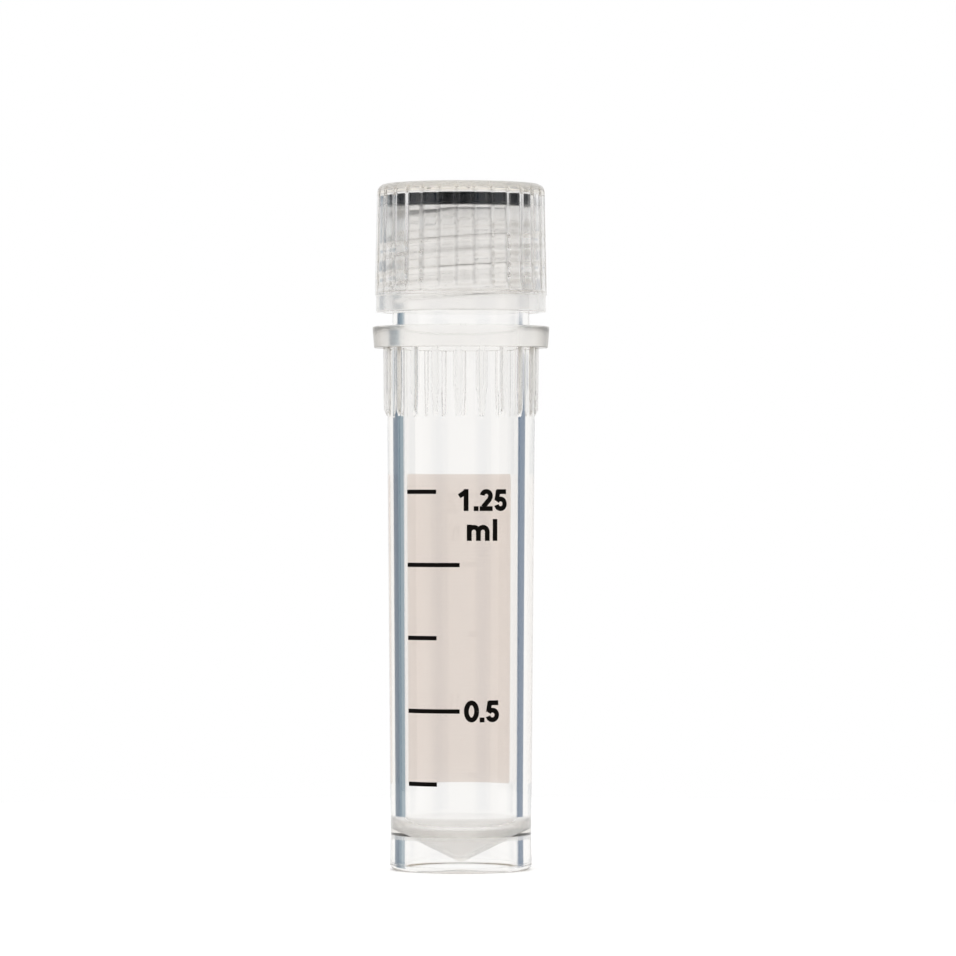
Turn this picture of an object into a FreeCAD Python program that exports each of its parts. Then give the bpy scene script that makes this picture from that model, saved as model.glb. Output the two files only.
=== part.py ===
import FreeCAD, Part
import os
import Sketcher

# A self-standing screw-cap cryovial of the 2 ml family, in millimetres.
# The origin is the middle of the foot's underside, +Z runs up the tube and -Y is the side with the
# printed graduations. The tube is one moulding: foot, conical floor, drafted wall, anti-turn fins,
# collar and threaded neck. The cap is another, and a rubber ring seals it on the neck's rim.

SIZES = {
    # tube: foot and floor
    "foot_radius": 5.0,
    "foot_wall_thickness": 0.98,
    "foot_edge_width": 0.25,
    "floor_corner_height": 3.18,
    "floor_edge_width": 0.6,
    "floor_tip_height": 1.27,
    "floor_thickness": 0.72,
    "tip_radius": 0.35,
    # tube: wall, which narrows towards the foot so that it leaves the mould
    "wall_low_radius": 4.96,
    "wall_top_radius": 5.24,
    "bore_low_radius": 3.95,
    "bore_top_radius": 4.12,
    "tube_height": 46.62,
    # tube: collar
    "collar_thickness": 1.5,
    "collar_radius": 6.24,
    "collar_taper_width": 0.12,
    "small_edge_width": 0.1,
    # tube: fins under the collar
    "fin_count": 20,
    "fin_turn_angle": 16.1,
    "fin_length": 4.8,
    "fin_height": 0.24,
    "fin_root_width": 0.8,
    "fin_tip_width": 0.44,
    "fin_narrowing_share": 0.68,
    "fin_narrowing_length": 2.0,
    "fin_end_length": 0.45,
    # tube: neck and its outside thread
    "neck_length": 8.37,
    "neck_radius": 4.83,
    "rim_edge_width": 0.2,
    "thread_pitch": 2.0,
    "thread_height": 0.4,
    "thread_root_width": 1.0,
    "thread_crest_width": 0.45,
    "thread_start_height": 1.93,
    "thread_start_angle": 180.0,
    # cap
    "cap_gap": 1.0,
    "cap_wall_thickness": 0.55,
    "cap_taper_width": 0.16,
    "cap_plate_thickness": 0.7,
    "cap_edge_width": 0.4,
    "lip_height": 1.15,
    "lip_step_width": 0.06,
    "thread_clearance": 0.12,
    "thread_backlash_gap": 0.08,
    "inner_thread_delay_angle": 270.0,
    "inner_thread_headroom_height": 1.27,
    "relief_height": 1.35,
    "relief_depth": 0.12,
    # cap: knurl
    "knurl_count": 30,
    "knurl_turn_angle": 3.0,
    "knurl_depth": 0.2,
    "knurl_width": 0.42,
    "knurl_runout_length": 0.9,
    # sealing ring
    "ring_thickness": 0.94,
    "ring_width": 1.45,
    "ring_clearance": 0.18,
    "seat_gap": 0.02,
    # print on the wall
    "ink_thickness": 0.05,
    "ink_gap": 0.02,
    "panel_bottom_height": 5.95,
    "panel_height": 21.95,
    "panel_corner_radius": 0.4,
    "panel_width_angle": 132.5,
    "panel_middle_angle": 96.25,
    "mark_first_height": 6.21,
    "mark_spacing": 5.1,
    "mark_width": 0.3,
    "mark_start_angle": -136.0,
    "mark_short_angle": 26.5,
    "mark_long_angle": 45.0,
}

SHEET = "Sizes"
FULL_TURN = 360
ROOT_BITE = 0.1          # how far a fin or a thread ridge reaches into the wall that carries it
CUT_MARGIN = 0.6         # how far a cutting shape runs out past the solid
LONG_MARKS = (1, 3)      # the second and fourth marks, 0.5 and 1.0 ml, are the long ones
MARK_COUNT = 5


class Dim:
    """A size that carries both its number and the sheet expression that gives it."""

    def __init__(self, value, text):
        self.value = float(value)
        self.text = text

    def __add__(self, other):
        other = dim(other)
        return Dim(self.value + other.value, f"({self.text} + {other.text})")

    def __sub__(self, other):
        other = dim(other)
        return Dim(self.value - other.value, f"({self.text} - {other.text})")

    def __mul__(self, other):
        other = dim(other)
        return Dim(self.value * other.value, f"({self.text} * {other.text})")

    def __truediv__(self, other):
        other = dim(other)
        return Dim(self.value / other.value, f"({self.text} / {other.text})")


def dim(value):
    """A Dim as it is, or a plain number as a Dim."""
    return value if isinstance(value, Dim) else Dim(value, repr(float(value)))


def size(name):
    """The named size of the sheet."""
    return Dim(SIZES[name], f"{SHEET}.{name}")


def make_sheet(doc):
    """The sheet of driving sizes: a label, a plain number and an alias in each row."""
    sheet = doc.addObject("Spreadsheet::Sheet", SHEET)
    for row, (name, value) in enumerate(SIZES.items(), start=1):
        sheet.set(f"A{row}", name)
        sheet.set(f"B{row}", str(value))
        sheet.setAlias(f"B{row}", name)
    doc.recompute()
    return sheet


# ---- drawing helpers -----------------------------------------------------------------------------

def new_body(doc, name):
    body = doc.addObject("PartDesign::Body", name)
    body.Label = name
    return body


def origin_feature(body, role):
    return next(o for o in body.Origin.OriginFeatures if o.Role == role)


def new_sketch(body, name, plane, height=None, turn=None):
    """A sketch on one of the body's own planes, raised along and turned about its normal."""
    sketch = body.newObject("Sketcher::SketchObject", name)
    sketch.AttachmentSupport = (origin_feature(body, plane), [""])
    sketch.MapMode = "FlatFace"
    if turn is not None:
        swing = FreeCAD.Rotation(FreeCAD.Vector(0, 0, 1), turn.value)
        sketch.AttachmentOffset = FreeCAD.Placement(FreeCAD.Vector(), swing)
        sketch.setExpression("AttachmentOffset.Rotation.Angle", turn.text)
    if height is not None:
        sketch.setExpression("AttachmentOffset.Base.z", height.text)
    return sketch


def fix(sketch, kind, geometry, value):
    """Holds one coordinate of a line's start point at value."""
    if abs(value.value) < 1e-9:
        axis = -2 if kind == "DistanceX" else -1
        sketch.addConstraint(Sketcher.Constraint("PointOnObject", geometry, 1, axis))
        return
    index = sketch.addConstraint(Sketcher.Constraint(kind, -1, 1, geometry, 1, value.value))
    sketch.setExpression(f"Constraints[{index}]", value.text)


def draw_outline(sketch, corners):
    """A closed outline of straight lines through the corners, each held by two sizes."""
    points = [(dim(x), dim(y)) for x, y in corners]
    count = len(points)
    for i, (x, y) in enumerate(points):
        x2, y2 = points[(i + 1) % count]
        start = FreeCAD.Vector(x.value, y.value, 0)
        end = FreeCAD.Vector(x2.value, y2.value, 0)
        sketch.addGeometry(Part.LineSegment(start, end))
    for i in range(count):
        sketch.addConstraint(Sketcher.Constraint("Coincident", i, 2, (i + 1) % count, 1))
    for i, (x, y) in enumerate(points):
        fix(sketch, "DistanceX", i, x)
        fix(sketch, "DistanceY", i, y)


def revolve(body, name, corners, kind="PartDesign::Revolution", angle=None, both_sides=False):
    """Turns an outline in the XZ plane about Z, as material or, for a Groove, as a cut."""
    sketch = new_sketch(body, name + "Outline", "XZ_Plane")
    draw_outline(sketch, corners)
    feature = body.newObject(kind, name)
    feature.Profile = sketch
    feature.ReferenceAxis = (sketch, ["V_Axis"])
    feature.Midplane = both_sides
    feature.Angle = FULL_TURN
    if angle is not None:
        feature.setExpression("Angle", angle.text)
    return feature


def loft(body, name, kind, turn, sections):
    """A ruled loft, turned about Z, through outlines at given heights: [(height, corners), ...]."""
    sketches = []
    for i, (height, corners) in enumerate(sections):
        sketch = new_sketch(body, f"{name}Section{i}", "XY_Plane", height, turn)
        draw_outline(sketch, corners)
        sketches.append(sketch)
    feature = body.newObject(kind, name)
    feature.Profile = sketches[0]
    feature.Sections = sketches[1:]
    feature.Ruled = True
    return feature


def ring_of(body, name, original, count):
    """Repeats a feature round Z."""
    pattern = body.newObject("PartDesign::PolarPattern", name)
    pattern.Originals = [original]
    pattern.Axis = (origin_feature(body, "Z_Axis"), [""])
    pattern.Angle = FULL_TURN
    pattern.Occurrences = int(count.value)
    pattern.setExpression("Occurrences", count.text)
    body.Tip = pattern
    return pattern


def ease_rings(doc, body, name, rings, amount):
    """Breaks the circular edges that lie at the given (radius, height) pairs."""
    doc.recompute()
    base = body.Tip
    picked = []
    for number, edge in enumerate(base.Shape.Edges, start=1):
        if edge.Curve.TypeId != "Part::GeomCircle":
            continue
        for r, z in rings:
            same_radius = abs(edge.Curve.Radius - dim(r).value) < 1e-4
            same_height = abs(edge.Curve.Center.z - dim(z).value) < 1e-4
            if same_radius and same_height:
                picked.append(f"Edge{number}")
    if not picked:
        raise RuntimeError(f"{name}: no edge lies at the given rings")
    chamfer = body.newObject("PartDesign::Chamfer", name)
    chamfer.Base = (base, picked)
    chamfer.Size = amount.value
    chamfer.setExpression("Size", amount.text)
    return chamfer


def helical_ridge(body, name, corners, start, pitch, turns):
    """Sweeps a ridge's section, drawn in a plane at the start angle, up a right-hand helix about Z."""
    sketch = new_sketch(body, name + "Section", "XZ_Plane")
    swing = FreeCAD.Rotation(FreeCAD.Vector(0, 1, 0), start.value)
    sketch.AttachmentOffset = FreeCAD.Placement(FreeCAD.Vector(), swing)
    sketch.setExpression("AttachmentOffset.Rotation.Angle", start.text)
    draw_outline(sketch, corners)
    ridge = body.newObject("PartDesign::AdditiveHelix", name)
    ridge.Profile = sketch
    ridge.ReferenceAxis = (sketch, ["V_Axis"])
    ridge.Mode = "pitch-turns-angle"
    ridge.Pitch = pitch.value
    ridge.Turns = turns.value
    ridge.setExpression("Pitch", pitch.text)
    ridge.setExpression("Turns", turns.text)
    ridge.Angle = 0
    ridge.LeftHanded = False
    return ridge


# ---- places that more than one piece shares ------------------------------------------------------

def collar_top():
    return size("tube_height") - size("neck_length")


def collar_bottom():
    return collar_top() - size("collar_thickness")


def foot_depth():
    """Height of the hollow inside the foot, where the conical floor meets the wall."""
    return size("floor_corner_height") - size("floor_thickness")


def wall_radius(height):
    """Outer radius of the drafted wall at a height between the foot and the collar."""
    rise = size("wall_top_radius") - size("wall_low_radius")
    share = (height - foot_depth()) / (collar_bottom() - foot_depth())
    return size("wall_low_radius") + rise * share


def thread_crest():
    return size("neck_radius") + size("thread_height")


def cap_bore():
    """Radius of the cap's inner wall, the root of its thread."""
    return thread_crest() + size("thread_clearance")


def cap_bottom():
    return collar_top() + size("cap_gap")


def ring_bottom():
    return size("tube_height") + size("seat_gap")


def cap_ceiling():
    return ring_bottom() + size("ring_thickness") + size("seat_gap")


# ---- the pieces ----------------------------------------------------------------------------------

def make_tube(doc):
    """The vial itself, one moulding from foot to threaded neck."""
    body = new_body(doc, "tube")
    foot_bore = size("foot_radius") - size("foot_wall_thickness")
    corners = [
        (size("foot_radius"), 0),
        (size("wall_low_radius"), foot_depth()),
        (size("wall_top_radius"), collar_bottom()),
        (size("collar_radius") - size("collar_taper_width"), collar_bottom()),
        (size("collar_radius"), collar_top()),
        (size("neck_radius"), collar_top()),
        (size("neck_radius"), size("tube_height")),
        (size("bore_top_radius"), size("tube_height")),
        (size("bore_low_radius"), size("floor_corner_height")),
        (size("tip_radius"), size("floor_tip_height")),
        (0, size("floor_tip_height")),
        (0, size("floor_tip_height") - size("floor_thickness")),
        (size("tip_radius"), size("floor_tip_height") - size("floor_thickness")),
        (foot_bore, foot_depth()),
        (foot_bore, 0),
    ]
    revolve(body, "TubeWall", corners)
    ease_rings(doc, body, "FloorEdge", [(size("bore_low_radius"), size("floor_corner_height"))],
               size("floor_edge_width"))
    ease_rings(doc, body, "FootEdge", [(size("foot_radius"), 0)], size("foot_edge_width"))
    collar_edges = [
        (size("collar_radius") - size("collar_taper_width"), collar_bottom()),
        (size("collar_radius"), collar_top()),
    ]
    ease_rings(doc, body, "CollarEdges", collar_edges, size("small_edge_width"))
    add_fins(body)
    add_neck_thread(body)
    return body


def add_fins(body):
    """Anti-turn fins under the collar, which narrow downwards and end in a slope."""
    root = size("wall_low_radius") - dim(ROOT_BITE)
    low_end = collar_bottom() - size("fin_length")

    def section(height, outer, share):
        half_root = size("fin_root_width") * share / 2
        half_tip = size("fin_tip_width") * share / 2
        minus = dim(0) - half_root, dim(0) - half_tip
        corners = [(root, minus[0]), (outer, minus[1]), (outer, half_tip), (root, half_root)]
        return height, corners

    top = collar_bottom() + dim(ROOT_BITE)
    knee = low_end + size("fin_narrowing_length")
    bend = low_end + size("fin_end_length")
    fin = loft(body, "Fin", "PartDesign::AdditiveLoft", size("fin_turn_angle"), [
        section(top, wall_radius(top) + size("fin_height"), dim(1)),
        section(knee, wall_radius(knee) + size("fin_height"), dim(1)),
        section(bend, wall_radius(bend) + size("fin_height"), size("fin_narrowing_share")),
        section(low_end, wall_radius(low_end) - dim(ROOT_BITE) / 2, size("fin_narrowing_share")),
    ])
    ring_of(body, "Fins", fin, size("fin_count"))


def add_neck_thread(body):
    """The outside thread, which runs out through the rim and is cut off and chamfered there."""
    middle = collar_top() + size("thread_start_height")
    root = size("neck_radius") - dim(ROOT_BITE)
    half_root = size("thread_root_width") / 2
    half_crest = size("thread_crest_width") / 2
    turns = (size("tube_height") - middle) / size("thread_pitch")
    helical_ridge(body, "NeckThread", [
        (root, middle - half_root),
        (thread_crest(), middle - half_crest),
        (thread_crest(), middle + half_crest),
        (root, middle + half_root),
    ], size("thread_start_angle"), size("thread_pitch"), turns)
    rim = size("tube_height")
    clear = thread_crest() + dim(CUT_MARGIN)
    slope_end = clear - size("neck_radius") + size("rim_edge_width")
    revolve(body, "RimTrim", [
        (size("neck_radius") - size("rim_edge_width"), rim),
        (clear, rim - slope_end),
        (clear, rim + size("thread_pitch") * 2),
        (size("bore_low_radius"), rim + size("thread_pitch") * 2),
        (size("bore_low_radius"), rim),
    ], kind="PartDesign::Groove")


def make_cap(doc):
    """The screw cap: knurled outside, plain lip, thread inside."""
    body = new_body(doc, "screw_cap")
    top = cap_ceiling() + size("cap_plate_thickness")
    top_radius = cap_bore() + size("cap_wall_thickness")
    low_radius = top_radius + size("cap_taper_width")
    lip_top = cap_bottom() + size("lip_height")
    lip_radius = low_radius - size("lip_step_width")
    revolve(body, "CapShell", [
        (0, top),
        (top_radius, top),
        (low_radius, lip_top),
        (lip_radius, lip_top),
        (lip_radius, cap_bottom()),
        (cap_bore(), cap_bottom()),
        (cap_bore(), cap_ceiling()),
        (0, cap_ceiling()),
    ])
    ease_rings(doc, body, "CapEdge", [(top_radius, top)], size("cap_edge_width"))
    ease_rings(doc, body, "LipEdge", [(lip_radius, cap_bottom())], size("small_edge_width"))
    add_inner_thread(body)
    add_knurl(body, top, top_radius, lip_top, low_radius)
    return body


def add_inner_thread(body):
    """The cap's thread, one gap below the neck's ridge, with a plain relief at the mouth."""
    half_root = size("thread_root_width") / 2
    half_crest = size("thread_crest_width") / 2
    below = half_root + half_crest + size("thread_backlash_gap")
    delay = size("inner_thread_delay_angle")
    start = size("thread_start_angle") + delay
    first = collar_top() + size("thread_start_height") - below
    middle = first + size("thread_pitch") * delay / FULL_TURN
    turns = (ring_bottom() - size("inner_thread_headroom_height") - middle) / size("thread_pitch")
    crest = cap_bore() - size("thread_height")
    root = cap_bore() + dim(ROOT_BITE)
    helical_ridge(body, "CapThread", [
        (root, middle - half_root),
        (root, middle + half_root),
        (crest, middle + half_crest),
        (crest, middle - half_crest),
    ], start, size("thread_pitch"), turns)
    relief = cap_bore() + size("relief_depth")
    mouth = cap_bottom() + size("relief_height")
    inside = crest - dim(ROOT_BITE)
    revolve(body, "MouthRelief", [
        (inside, cap_bottom() - dim(CUT_MARGIN)),
        (relief, cap_bottom() - dim(CUT_MARGIN)),
        (relief, mouth),
        (inside, mouth + relief - inside),
    ], kind="PartDesign::Groove")


def add_knurl(body, top, top_radius, lip_top, low_radius):
    """Grip grooves of V section down the cap's side, which run out above the lip."""
    outside = low_radius + dim(CUT_MARGIN)
    flare = size("knurl_width") / size("knurl_depth") / 2

    def section(height, bottom):
        half = (outside - bottom) * flare
        return height, [(bottom, 0), (outside, half), (outside, dim(0) - half)]

    bend = lip_top + size("knurl_runout_length")
    share = (bend - lip_top) / (top - lip_top)
    bend_radius = low_radius - (low_radius - top_radius) * share
    groove = loft(body, "Groove", "PartDesign::SubtractiveLoft", size("knurl_turn_angle"), [
        section(top + dim(CUT_MARGIN), top_radius - size("knurl_depth")),
        section(bend, bend_radius - size("knurl_depth")),
        section(lip_top, low_radius + dim(ROOT_BITE)),
    ])
    ring_of(body, "Knurl", groove, size("knurl_count"))


def make_ring(doc):
    """The flat rubber ring between the neck's rim and the cap's ceiling."""
    body = new_body(doc, "sealing_ring")
    outer = cap_bore() - size("ring_clearance")
    inner = outer - size("ring_width")
    bottom = ring_bottom()
    top = bottom + size("ring_thickness")
    revolve(body, "RingBand", [(inner, bottom), (outer, bottom), (outer, top), (inner, top)])
    return body


def ink_outline(bottom, top):
    """Section of a printed layer that lies on the drafted wall between two heights."""
    near = size("ink_gap")
    far = near + size("ink_thickness")
    return [
        (wall_radius(bottom) + near, bottom),
        (wall_radius(bottom) + far, bottom),
        (wall_radius(top) + far, top),
        (wall_radius(top) + near, top),
    ]


def turn_body(body, angle):
    """Turns a finished body about Z to where its print lies on the wall."""
    body.Placement = FreeCAD.Placement(FreeCAD.Vector(), FreeCAD.Rotation(FreeCAD.Vector(0, 0, 1), 0))
    body.setExpression("Placement.Rotation.Angle", angle.text)


def make_panel(doc):
    """The white panel to write on, a printed layer with rounded corners."""
    body = new_body(doc, "writing_panel")
    bottom = size("panel_bottom_height")
    top = bottom + size("panel_height")
    revolve(body, "PanelLayer", ink_outline(bottom, top), angle=size("panel_width_angle"), both_sides=True)
    doc.recompute()
    base = body.Tip
    corners = []
    for number, edge in enumerate(base.Shape.Edges, start=1):
        if edge.Length < 2 * SIZES["ink_thickness"]:
            corners.append(f"Edge{number}")
    fillet = body.newObject("PartDesign::Fillet", "PanelRounding")
    fillet.Base = (base, corners)
    fillet.Radius = SIZES["panel_corner_radius"]
    fillet.setExpression("Radius", size("panel_corner_radius").text)
    turn_body(body, size("panel_middle_angle"))
    return body


def make_marks(doc):
    """The five printed graduation lines, each a strip that starts at the same side."""
    body = new_body(doc, "graduation_marks")
    body.AllowCompound = True
    for i in range(MARK_COUNT):
        middle = size("mark_first_height") + size("mark_spacing") * i
        half = size("mark_width") / 2
        reach = size("mark_long_angle") if i in LONG_MARKS else size("mark_short_angle")
        revolve(body, f"Mark{i + 1}", ink_outline(middle - half, middle + half), angle=reach)
    turn_body(body, size("mark_start_angle"))
    return body


def check(doc, bodies):
    """Stops the build where a feature failed or a piece isn't a sound solid."""
    for item in doc.Objects:
        if "Invalid" in item.State or "Error" in item.State:
            raise RuntimeError(f"{item.Label} failed: {item.State}")
    for body in bodies:
        if body.Shape.isNull() or not body.Shape.isValid() or not body.Shape.Solids:
            raise RuntimeError(f"{body.Label} is not a valid solid")


def main():
    doc = FreeCAD.newDocument("Cryovial")
    make_sheet(doc)
    bodies = [make_tube(doc), make_cap(doc), make_ring(doc), make_panel(doc), make_marks(doc)]
    doc.recompute()
    check(doc, bodies)
    os.makedirs("parts", exist_ok=True)
    for body in bodies:
        body.Shape.exportStep(f"parts/{body.Label}.step")
        box = body.Shape.BoundBox
        print(f"{body.Label}: {len(body.Shape.Solids)} solid(s), {body.Shape.Volume:.2f} mm3, "
              f"z {box.ZMin:.2f} to {box.ZMax:.2f}")


main()
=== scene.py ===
# %% [markdown]
# # A clear screw-cap cryovial
#
# The object is a small self-standing vial for frozen samples: a clear polypropylene tube, a clear
# ribbed cap with a black sealing ring, black volume marks and a pale panel to write on. The packed
# model gives the places and the moving bodies. Clear plastic shows every facet of its own skin, so
# the two mouldings are rebuilt here as fine smooth shells of the same sizes.

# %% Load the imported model
import math

import bpy
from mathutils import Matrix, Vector


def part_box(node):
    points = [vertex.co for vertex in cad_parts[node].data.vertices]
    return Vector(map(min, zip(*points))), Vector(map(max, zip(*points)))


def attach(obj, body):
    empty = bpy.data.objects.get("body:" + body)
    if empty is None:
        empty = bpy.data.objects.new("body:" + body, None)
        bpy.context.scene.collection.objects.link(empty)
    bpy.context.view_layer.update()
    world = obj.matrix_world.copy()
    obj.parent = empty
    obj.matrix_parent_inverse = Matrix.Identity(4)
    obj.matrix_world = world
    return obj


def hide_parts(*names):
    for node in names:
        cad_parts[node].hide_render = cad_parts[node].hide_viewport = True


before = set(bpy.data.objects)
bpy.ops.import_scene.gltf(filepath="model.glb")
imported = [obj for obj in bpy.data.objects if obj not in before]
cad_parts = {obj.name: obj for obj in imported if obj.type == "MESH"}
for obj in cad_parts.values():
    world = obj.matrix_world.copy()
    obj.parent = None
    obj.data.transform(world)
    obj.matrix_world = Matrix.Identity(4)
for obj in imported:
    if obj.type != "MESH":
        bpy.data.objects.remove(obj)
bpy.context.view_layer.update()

MM = 0.001

# %% [markdown]
# ## Sizes
#
# Heights run up from the table and radii out from the tube's axis, all in millimetres until a mesh
# is made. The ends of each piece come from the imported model, so the shells stay on their solids.
# The wall narrows a little towards the foot, so its radius is worked out for any height.

# %% Heights and radii that several pieces share
tube_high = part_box("tube")[1]
cap_low, cap_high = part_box("screw_cap")
ring_low, ring_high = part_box("sealing_ring")
panel_low, panel_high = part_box("writing_panel")

RIM = tube_high.z / MM
NECK_RADIUS = 4.83
NECK_LENGTH = 8.37
COLLAR_THICKNESS = 1.5
COLLAR_TOP = RIM - NECK_LENGTH
COLLAR_BOTTOM = COLLAR_TOP - COLLAR_THICKNESS
WALL_LOW = (4.96, 2.46)
WALL_TOP = (5.24, COLLAR_BOTTOM)
THREAD_PITCH = 2.0
THREAD_HEIGHT = 0.4
THREAD_START = COLLAR_TOP + 1.93


def wall_radius(height):
    """Outer radius of the drafted wall at a height."""
    share = (height - WALL_LOW[1]) / (WALL_TOP[1] - WALL_LOW[1])
    return WALL_LOW[0] + (WALL_TOP[0] - WALL_LOW[0]) * share


print("rim at", round(RIM, 2), "collar", round(COLLAR_BOTTOM, 2), "to", round(COLLAR_TOP, 2))

# %% [markdown]
# ## Turned shells
#
# Both mouldings are round, so each is one section turned about the axis. A section is a list of
# corners, each with its own rounding. A Bevel modifier could round them as well, but a list says
# which edge is sharp and which is soft. Every straight run gets a guard row close to each end, so
# that smooth shading bends only round the corner. That matters here, as a clear wall is a lens.

# %% A rounded section from its corners
ARC_STEP = math.radians(11)
GUARD = 0.04


def corner(radius, height, rounding=0.0, spacing=None):
    """One corner of a section. Spacing asks for close rows on the way to the next corner."""
    return {"at": Vector((radius, height)), "rounding": rounding, "spacing": spacing}


def arc_at(before, here, after, rounding):
    """The points of the arc that rounds one corner."""
    back, on = (before - here).normalized(), (after - here).normalized()
    opening = back.angle(on)
    turn = math.pi - opening
    reach = rounding / math.tan(opening / 2)
    centre = here + (back + on).normalized() * rounding / math.sin(opening / 2)
    first, last = here + back * reach - centre, here + on * reach - centre
    steps = max(2, math.ceil(turn / ARC_STEP))
    return [centre + first.slerp(last, i / steps) * rounding for i in range(steps + 1)]


def straight(start, end, spacing):
    """The rows between two corners: close rows where asked, or else a guard row at each end."""
    length = (end - start).length
    if spacing:
        count = max(1, round(length / spacing))
        return [start.lerp(end, i / count) for i in range(1, count)]
    if length < GUARD * 4:
        return []
    return [start.lerp(end, GUARD / length), end.lerp(start, GUARD / length)]


def section(corners):
    """All the (radius, height) rows of a section, from its first corner to its last."""
    turns = []
    for i, c in enumerate(corners):
        inner = 0 < i < len(corners) - 1
        if c["rounding"] and inner:
            turns.append(arc_at(corners[i - 1]["at"], c["at"], corners[i + 1]["at"], c["rounding"]))
        else:
            turns.append([c["at"]])
    rows = []
    for i, points in enumerate(turns):
        rows += points
        if i < len(turns) - 1:
            rows += straight(points[-1], turns[i + 1][0], corners[i]["spacing"])
    return rows


print("rows round a square corner:", math.ceil(math.pi / 2 / ARC_STEP) + 1)

# %% [markdown]
# A Screw modifier turns a section at even steps only, and fins need columns of points set close
# together over their flanks, so the angles are given. Marks are point attributes that say which rows
# a later step may move.

# %% Turning a section into a shell
ON_AXIS = 1e-6


def place_at(radius, angle, height):
    """A point in metres, from a radius, an angle round the axis and a height."""
    return (radius * math.cos(angle) * MM, radius * math.sin(angle) * MM, height * MM)


def even_angles(count):
    """Angles at an even step all round."""
    return [math.tau * i / count for i in range(count)]


def place_mesh(name, verts, faces):
    """A new object with its own mesh, placed in the scene."""
    mesh = bpy.data.meshes.new(name)
    mesh.from_pydata(verts, [], faces)
    obj = bpy.data.objects.new(name, mesh)
    bpy.context.scene.collection.objects.link(obj)
    return obj


def turned(name, rows, angles, marks, closed=False):
    """Turns rows about the axis into a smooth shell. Marks are (attribute, function of a row)."""
    verts, rings = [], []
    columns = len(angles)
    for row in rows:
        if row.x < ON_AXIS:
            rings.append([len(verts)] * columns)
            verts.append((0, 0, row.y * MM))
        else:
            rings.append(list(range(len(verts), len(verts) + columns)))
            verts += [place_at(row.x, angle, row.y) for angle in angles]
    faces = []
    pairs = list(zip(rings, rings[1:])) + ([(rings[-1], rings[0])] if closed else [])
    for low, high in pairs:
        for i in range(columns):
            j = (i + 1) % columns
            face = dict.fromkeys((low[i], low[j], high[j], high[i]))
            if len(face) > 2:
                faces.append(list(face))
    obj = place_mesh(name, verts, faces)
    obj.data.shade_smooth()
    for label, weigh in marks:
        layer = obj.data.attributes.new(label, "FLOAT", "POINT")
        for row, ring in zip(rows, rings):
            for index in set(ring):
                layer.data[index].value = weigh(row.x, row.y)
    print(name, len(rows), "rows,", len(faces), "faces")
    return obj


# %% [markdown]
# ## Node helpers
#
# Geometry and shader trees are both built from script. Small helpers keep that readable: they feed
# a socket with a number or a link, and add nodes with their inputs.

# %% Helpers for any node tree
def feed(tree, socket, value):
    """Links a socket to another, or gives it a plain value."""
    if isinstance(value, bpy.types.NodeSocket):
        tree.links.new(value, socket)
    else:
        socket.default_value = value


def feed_node(tree, node, **inputs):
    """Feeds a node's named inputs, with _ for each space in a name."""
    for key, value in inputs.items():
        feed(tree, node.inputs[key.replace("_", " ")], value)


def add(tree, kind, settings=None, **inputs):
    """Adds a node, with its settings, and feeds its named inputs."""
    node = tree.nodes.new(kind)
    for key, value in (settings or {}).items():
        setattr(node, key, value)
    feed_node(tree, node, **inputs)
    return node


def calc(tree, operation, *values, clamp=False):
    """Adds a math node and returns its result."""
    node = tree.nodes.new("ShaderNodeMath")
    node.operation = operation
    node.use_clamp = clamp
    for socket, value in zip(node.inputs, values):
        feed(tree, socket, value)
    return node.outputs[0]


def times(tree, result, *others):
    """All the values multiplied."""
    for other in others:
        result = calc(tree, "MULTIPLY", result, other)
    return result


def minus(tree, first, second):
    """The first value less the second."""
    return calc(tree, "SUBTRACT", first, second)


def from_axis(tree, x, y):
    """How far a point lies from the upright axis."""
    return calc(tree, "SQRT", calc(tree, "ADD", times(tree, x, x), times(tree, y, y)))


print("node helpers: feed, feed_node, add, calc, times, minus, from_axis")

# %% [markdown]
# A geometry tree takes a shell, its material and some numbers. It ends in Realize Instances and Set
# Material, so that plain painted geometry comes out. A modifier could stay on the object, but the
# result is kept as its own mesh, because later steps mark its new points.

# %% Helpers for geometry trees
def new_geometry_tree(name, numbers):
    """A geometry tree with a mesh, a material and the named numbers as its inputs."""
    tree = bpy.data.node_groups.new(name, "GeometryNodeTree")
    tree.interface.new_socket("Shell", in_out="INPUT", socket_type="NodeSocketGeometry")
    tree.interface.new_socket("Material", in_out="INPUT", socket_type="NodeSocketMaterial")
    for label in numbers:
        tree.interface.new_socket(label, in_out="INPUT", socket_type="NodeSocketFloat")
    tree.interface.new_socket("Shell", in_out="OUTPUT", socket_type="NodeSocketGeometry")
    return tree, tree.nodes.new("NodeGroupInput")


def finish_tree(tree, source, geometry):
    """Ends a geometry tree with plain geometry and its material."""
    real = add(tree, "GeometryNodeRealizeInstances", Geometry=geometry)
    painted = add(tree, "GeometryNodeSetMaterial", Geometry=real.outputs[0],
                  Material=source.outputs["Material"])
    out = tree.nodes.new("NodeGroupOutput")
    tree.links.new(painted.outputs[0], out.inputs[0])


def run_tree(obj, tree, values):
    """Runs a tree on an object with the given inputs and keeps the mesh that comes out."""
    modifier = obj.modifiers.new(tree.name, "NODES")
    modifier.node_group = tree
    for item in tree.interface.items_tree:
        if item.item_type == "SOCKET" and item.in_out == "INPUT" and item.name in values:
            modifier[item.identifier] = values[item.name]
    depsgraph = bpy.context.evaluated_depsgraph_get()
    mesh = bpy.data.meshes.new_from_object(obj.evaluated_get(depsgraph), depsgraph=depsgraph)
    obj.modifiers.remove(modifier)
    obj.data = mesh
    print(obj.name, "after", tree.name, len(mesh.vertices), "points")


# %% [markdown]
# ## Raised and sunk detail
#
# Fins, grip grooves and threads aren't pieces stuck on: each is a rule that moves the shell's own
# skin in or out. The skin stays one closed surface, as a real moulding's is, and light crosses it
# once and not twice.

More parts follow.
